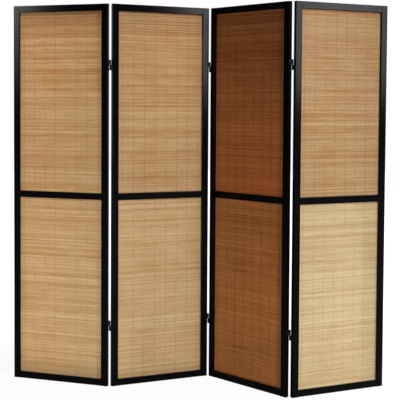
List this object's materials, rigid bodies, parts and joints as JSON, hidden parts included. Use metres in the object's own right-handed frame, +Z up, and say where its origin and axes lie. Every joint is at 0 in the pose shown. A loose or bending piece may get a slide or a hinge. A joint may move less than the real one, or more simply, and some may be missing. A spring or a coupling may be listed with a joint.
{
  "type": "folding screen",
  "caption": "Free-standing folding screen: black framed panels with fine bamboo matting, hinged edge to edge to fold in a zigzag or shut flat.",
  "frame": {"origin": "on the floor, under the middle of the standing screen's bounding box", "axes": "+Z up, +X to the right along the screen as seen from the front, front towards -Y"},
  "size_m": [1.7678, 0.3846, 1.8],
  "materials": {
    "black_frame": "black satin lacquer on softwood",
    "bamboo": "fine split-bamboo matting, unvarnished, bound with brown thread",
    "hinge_steel": "black enamelled steel",
    "screw_steel": "black oxide steel"
  },
  "bodies": {
    "panel_1": {"hinge_1_bottom_left_leaf": "hinge_steel", "hinge_1_top_left_leaf": "hinge_steel", "panel_1_bottom_rail": "black_frame", "panel_1_hinge_screws": "screw_steel", "panel_1_left_stile": "black_frame", "panel_1_lower_mat": "bamboo", "panel_1_middle_rail": "black_frame", "panel_1_right_stile": "black_frame", "panel_1_top_rail": "black_frame", "panel_1_upper_mat": "bamboo"},
    "panel_2": {"hinge_1_bottom_pin": "hinge_steel", "hinge_1_bottom_right_leaf": "hinge_steel", "hinge_1_top_pin": "hinge_steel", "hinge_1_top_right_leaf": "hinge_steel", "hinge_2_bottom_left_leaf": "hinge_steel", "hinge_2_top_left_leaf": "hinge_steel", "panel_2_bottom_rail": "black_frame", "panel_2_hinge_screws": "screw_steel", "panel_2_left_stile": "black_frame", "panel_2_lower_mat": "bamboo", "panel_2_middle_rail": "black_frame", "panel_2_right_stile": "black_frame", "panel_2_top_rail": "black_frame", "panel_2_upper_mat": "bamboo"},
    "panel_3": {"hinge_2_bottom_pin": "hinge_steel", "hinge_2_bottom_right_leaf": "hinge_steel", "hinge_2_top_pin": "hinge_steel", "hinge_2_top_right_leaf": "hinge_steel", "hinge_3_bottom_left_leaf": "hinge_steel", "hinge_3_top_left_leaf": "hinge_steel", "panel_3_bottom_rail": "black_frame", "panel_3_hinge_screws": "screw_steel", "panel_3_left_stile": "black_frame", "panel_3_lower_mat": "bamboo", "panel_3_middle_rail": "black_frame", "panel_3_right_stile": "black_frame", "panel_3_top_rail": "black_frame", "panel_3_upper_mat": "bamboo"},
    "panel_4": {"hinge_3_bottom_pin": "hinge_steel", "hinge_3_bottom_right_leaf": "hinge_steel", "hinge_3_top_pin": "hinge_steel", "hinge_3_top_right_leaf": "hinge_steel", "panel_4_bottom_rail": "black_frame", "panel_4_hinge_screws": "screw_steel", "panel_4_left_stile": "black_frame", "panel_4_lower_mat": "bamboo", "panel_4_middle_rail": "black_frame", "panel_4_right_stile": "black_frame", "panel_4_top_rail": "black_frame", "panel_4_upper_mat": "bamboo"}
  },
  "joints": [
    {"name": "fold_1", "type": "hinge", "parent": "panel_2", "child": "panel_1", "pos_m": [-0.4129, 0.0207, 0.9], "axis": [0, 0, 1], "range_deg": [-139.5, 40.5]},
    {"name": "fold_2", "type": "hinge", "parent": "panel_2", "child": "panel_3", "pos_m": [0.06127, 0.1745, 0.9], "axis": [0, 0, 1], "range_deg": [-112.5, 67.5]},
    {"name": "fold_3", "type": "hinge", "parent": "panel_3", "child": "panel_4", "pos_m": [0.41699, -0.17471, 0.9], "axis": [0, 0, 1], "range_deg": [-68.5, 111.5]}
  ]
}
